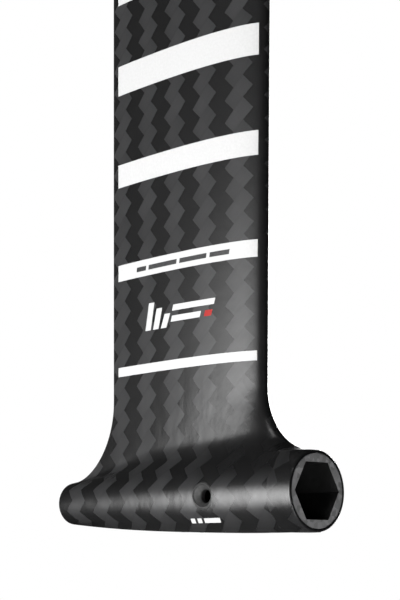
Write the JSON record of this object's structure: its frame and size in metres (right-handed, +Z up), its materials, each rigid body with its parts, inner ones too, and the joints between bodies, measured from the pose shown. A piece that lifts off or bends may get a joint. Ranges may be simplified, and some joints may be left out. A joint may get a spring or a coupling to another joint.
{
  "type": "hydrofoil mast",
  "caption": "Carbon hydrofoil mast: a slim foil blade with a tapered tubular foot holding a hexagonal fuselage socket, and a slotted board plate at its top.",
  "frame": {"origin": "middle of the upper face of the board plate", "axes": "+Z up out of the board face, the blade's length; +X to the nose, the blade's leading edge; +Y to port"},
  "size_m": [0.202, 0.118, 0.795],
  "materials": {
    "carbon_twill": "satin clear coat over wide spread-tow carbon twill",
    "forged_carbon": "matte machined forged carbon, mottled grain",
    "carbon_tow": "unidirectional carbon tow, dull",
    "foam": "fine closed-cell foam",
    "seat_metal": "blackened, satin",
    "white_print": "white print under the clear coat",
    "dark_print": "black print on the white stripe",
    "red_print": "red print"
  },
  "bodies": {
    "root": {"board_face_ply": "carbon_twill", "board_plate": "carbon_twill", "foot_saddle": "forged_carbon", "foot_screw_print": "white_print", "front_collar_wrap": "carbon_twill", "front_lower_screw_seat": "seat_metal", "front_shear_web": "carbon_tow", "hex_socket_liner": "forged_carbon", "leading_edge_filler": "carbon_tow", "middle_foam_core": "foam", "nose_foam_core": "foam", "port_emblem": "white_print", "port_emblem_accent": "red_print", "port_root_fillet": "carbon_twill", "port_size_line": "dark_print", "port_skin": "carbon_twill", "port_spar_cap": "carbon_tow", "port_stripes": "white_print", "rear_lower_screw_seat": "seat_metal", "rear_shear_web": "carbon_tow", "root_block": "forged_carbon", "side_screw_seat": "seat_metal", "starboard_emblem": "white_print", "starboard_emblem_accent": "red_print", "starboard_root_fillet": "carbon_twill", "starboard_size_line": "dark_print", "starboard_skin": "carbon_twill", "starboard_spar_cap": "carbon_tow", "starboard_stripes": "white_print", "tail_foam_core": "foam", "trailing_edge_filler": "carbon_tow"}
  },
  "joints": []
}
